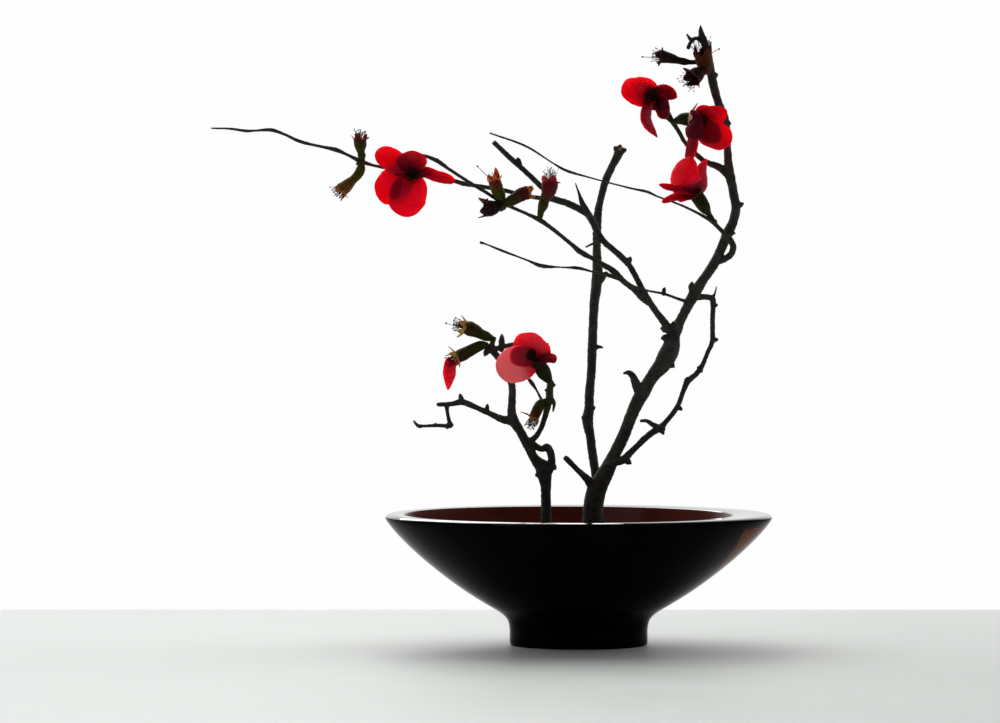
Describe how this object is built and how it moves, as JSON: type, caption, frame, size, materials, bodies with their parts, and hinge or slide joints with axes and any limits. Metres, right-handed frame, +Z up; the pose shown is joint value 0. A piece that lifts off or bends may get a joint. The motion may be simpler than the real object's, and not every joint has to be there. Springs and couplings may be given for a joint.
{
  "type": "ikebana arrangement",
  "caption": "Ikebana of flowering quince: bare branches with open and spent blooms, held by a pin holder under water in a footed lacquer bowl.",
  "frame": {"origin": "middle of the flat underside of the bowl's foot, on the surface it stands on", "axes": "+Z up, -Y towards the front of the arrangement, +X to its right as seen from the front"},
  "size_m": [0.4345, 0.3, 0.4809],
  "materials": {
    "lacquer": "gloss black lacquer outside and on the rim, dark red-brown lacquer inside",
    "holder_metal": "dull lead plate with brass needles",
    "bark": "dark, nearly black bark with fine ridges and pale pores",
    "petal_red": "soft translucent crimson petal",
    "petal_pale": "soft translucent pink-red petal with fine veins",
    "calyx_green": "satin dark green, browning and yellowing towards the sepals",
    "stamen_dark": "dry dark brown threads",
    "water": "clear still water"
  },
  "bodies": {
    "root": {"bowl": "lacquer", "pin_holder": "holder_metal", "branch_tall": "bark", "branch_upright": "bark", "branch_low": "bark", "bloom_left_petals": "petal_red", "bloom_upper_petals": "petal_red", "bloom_right_petals": "petal_red", "bloom_middle_petals": "petal_red", "bloom_low_petals": "petal_pale", "spent_low_down_petal": "petal_red", "bloom_left_calyx": "calyx_green", "bloom_upper_calyx": "calyx_green", "bloom_right_calyx": "calyx_green", "bloom_middle_calyx": "calyx_green", "bloom_low_calyx": "calyx_green", "spent_far_up_calyx": "calyx_green", "spent_far_down_calyx": "calyx_green", "spent_mid_up_calyx": "calyx_green", "spent_mid_left_calyx": "calyx_green", "spent_mid_right_calyx": "calyx_green", "spent_near_up_calyx": "calyx_green", "spent_top_left_calyx": "calyx_green", "spent_top_right_calyx": "calyx_green", "spent_top_under_calyx": "calyx_green", "spent_low_up_calyx": "calyx_green", "spent_low_down_calyx": "calyx_green", "spent_shoot_calyx": "calyx_green", "bloom_left_stamens": "stamen_dark", "bloom_upper_stamens": "stamen_dark", "bloom_right_stamens": "stamen_dark", "bloom_middle_stamens": "stamen_dark", "bloom_low_stamens": "stamen_dark", "spent_far_up_stamens": "stamen_dark", "spent_far_down_stamens": "stamen_dark", "spent_mid_up_stamens": "stamen_dark", "spent_mid_left_stamens": "stamen_dark", "spent_mid_right_stamens": "stamen_dark", "spent_near_up_stamens": "stamen_dark", "spent_top_left_stamens": "stamen_dark", "spent_top_right_stamens": "stamen_dark", "spent_top_under_stamens": "stamen_dark", "spent_low_up_stamens": "stamen_dark", "spent_low_down_stamens": "stamen_dark", "spent_shoot_stamens": "stamen_dark", "water": "water"}
  },
  "joints": []
}
